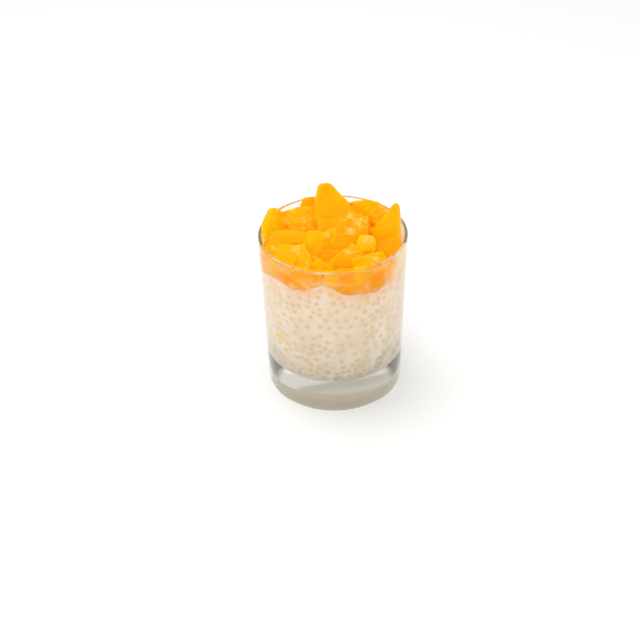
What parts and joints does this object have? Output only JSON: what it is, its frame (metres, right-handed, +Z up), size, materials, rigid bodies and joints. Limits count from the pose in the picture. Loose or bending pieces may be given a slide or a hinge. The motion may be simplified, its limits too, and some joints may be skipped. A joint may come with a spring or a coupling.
{
  "type": "tapioca pudding",
  "caption": "Tapioca pudding in a straight tumbler with a thick clear base, heaped above the rim with glossy diced peach.",
  "frame": {"origin": "middle of the tumbler's foot, on the table", "axes": "+Z up along the tumbler's axis; -Y is the front, the side the heap of peach slopes down to, and +X is to its right"},
  "size_m": [0.08, 0.08, 0.1166],
  "materials": {
    "glass": "clear, faintly green where thick, polished",
    "pudding": null,
    "peach": null
  },
  "bodies": {
    "root": {"peach_back_left": "peach", "peach_back_middle": "peach", "peach_back_right": "peach", "peach_centre": "peach", "peach_chip_far_left": "peach", "peach_chip_far_right": "peach", "peach_chip_front": "peach", "peach_chip_left": "peach", "peach_chip_right": "peach", "peach_front_left": "peach", "peach_front_middle": "peach", "peach_front_right": "peach", "peach_front_small": "peach", "peach_left_back": "peach", "peach_left_bit": "peach", "peach_left_flat": "peach", "peach_left_side": "peach", "peach_left_slope": "peach", "peach_left_tall": "peach", "peach_middle_back": "peach", "peach_middle_cube": "peach", "peach_middle_wedge": "peach", "peach_pale_cube": "peach", "peach_peak": "peach", "peach_right_back": "peach", "peach_right_front": "peach", "peach_right_side": "peach", "peach_right_tall": "peach", "peach_stone_side": "peach", "peach_under_cube": "peach", "peach_wall_back": "peach", "peach_wall_east": "peach", "peach_wall_far_left": "peach", "peach_wall_front": "peach", "peach_wall_left": "peach", "peach_wall_north": "peach", "peach_wall_north_east": "peach", "peach_wall_north_west": "peach", "peach_wall_right": "peach", "peach_wall_side": "peach", "peach_wall_tip": "peach", "peach_wall_west": "peach", "pudding": "pudding", "tumbler": "glass"}
  },
  "joints": []
}
